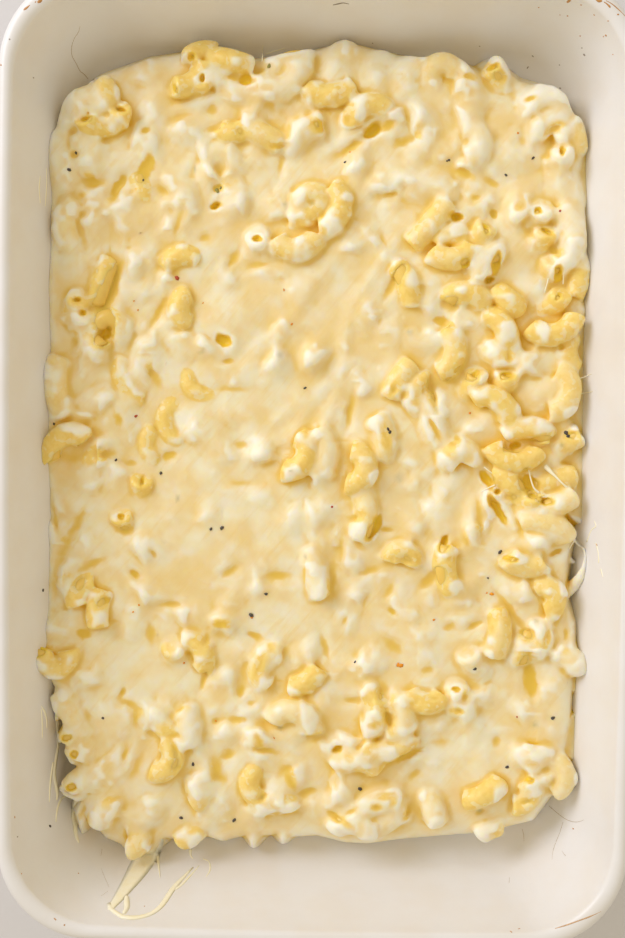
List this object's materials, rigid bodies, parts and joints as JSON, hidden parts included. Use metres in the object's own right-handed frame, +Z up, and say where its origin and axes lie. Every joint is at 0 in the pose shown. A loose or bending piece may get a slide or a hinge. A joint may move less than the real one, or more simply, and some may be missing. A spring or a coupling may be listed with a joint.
{
  "type": "macaroni and cheese in a baking dish",
  "caption": "Creamy elbow macaroni and cheese filling a rectangular cream stoneware baking dish with sloping walls, rounded corners and an open top.",
  "frame": {"origin": "centre of the dish's underside, on the surface that it stands on", "axes": "+X across the dish, +Y along its long side, +Z up out of its open top"},
  "size_m": [0.228, 0.346, 0.056],
  "materials": {
    "stoneware": "satin cream glaze with fine craze lines and baked-on marks at the rim",
    "cheese_sauce": "smooth, moist, slightly glossy cheese sauce",
    "pasta": "moist cooked durum wheat pasta under a thin film of sauce",
    "pepper": "coarsely ground black pepper",
    "spice": "flakes of dried red spice"
  },
  "bodies": {
    "root": {"baking_dish": "stoneware", "mac_and_cheese": "cheese_sauce"}
  },
  "joints": []
}
